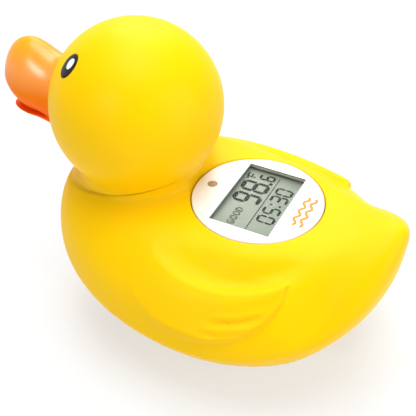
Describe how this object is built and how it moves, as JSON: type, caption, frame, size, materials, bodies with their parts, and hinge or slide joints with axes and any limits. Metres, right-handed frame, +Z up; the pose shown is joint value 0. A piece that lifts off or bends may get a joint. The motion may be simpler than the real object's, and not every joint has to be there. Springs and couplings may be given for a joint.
{
  "type": "baby bath thermometer",
  "caption": "Floating bath thermometer shaped as a plain duck, with a round temperature and clock display in its back and a flat foot.",
  "frame": {"origin": "on the floor at the middle of the flat foot, straight below the centre of the round display face", "axes": "+Z up through the display face, -Y where the duck looks, +X the duck's left side"},
  "size_m": [0.0784, 0.1206, 0.0868],
  "materials": {
    "yellow_skin": "satin soft vinyl",
    "yellow_plastic": "satin moulded plastic",
    "orange_beak": "satin gloss",
    "black_gloss": "gloss",
    "white_plastic": "smooth moulded plastic",
    "window_clear": "clear and polished",
    "lamp_lens": "diffusing lens",
    "display_glass": "reflective display glass",
    "grey_plastic": "plain moulded plastic",
    "grey_silicone": "matt silicone",
    "board_green": "solder mask",
    "black_epoxy": "poured epoxy",
    "plated_metal": "nickel plated",
    "stainless_steel": "drawn stainless steel"
  },
  "bodies": {
    "root": {"hull": "yellow_skin", "beak": "orange_beak", "eye_left": "black_gloss", "eye_right": "black_gloss", "pupil_left": "white_plastic", "pupil_right": "white_plastic", "face_plate": "white_plastic", "window": "window_clear", "light_guide": "lamp_lens", "led": "lamp_lens", "lcd_panel": "display_glass", "lcd_frame": "grey_plastic", "zebra_front": "grey_silicone", "zebra_rear": "grey_silicone", "display_board": "board_green", "board_screw_1": "plated_metal", "board_screw_2": "plated_metal", "board_screw_3": "plated_metal", "board_screw_4": "plated_metal", "chip_cap": "black_epoxy", "crystal": "plated_metal", "pod_case": "grey_plastic", "shoulder_seal": "grey_silicone", "base_cap": "yellow_plastic", "base_gasket": "grey_silicone", "battery_door": "yellow_plastic", "door_screw": "plated_metal", "case_screw_left": "plated_metal", "case_screw_right": "plated_metal", "door_seal": "grey_silicone", "battery": "stainless_steel", "contact_negative": "plated_metal", "contact_positive": "plated_metal", "base_board": "board_green", "tact_switch": "grey_plastic", "probe_cap": "stainless_steel", "thermistor": "grey_plastic", "ribbon_cable": "grey_plastic"},
    "button": {"mode_button": "white_plastic"}
  },
  "joints": [
    {"name": "mode_press", "type": "slide", "parent": "root", "child": "button", "axis": [0, 0, 1], "range_m": [0, 0.0008], "stiffness_N_per_m": 400}
  ]
}
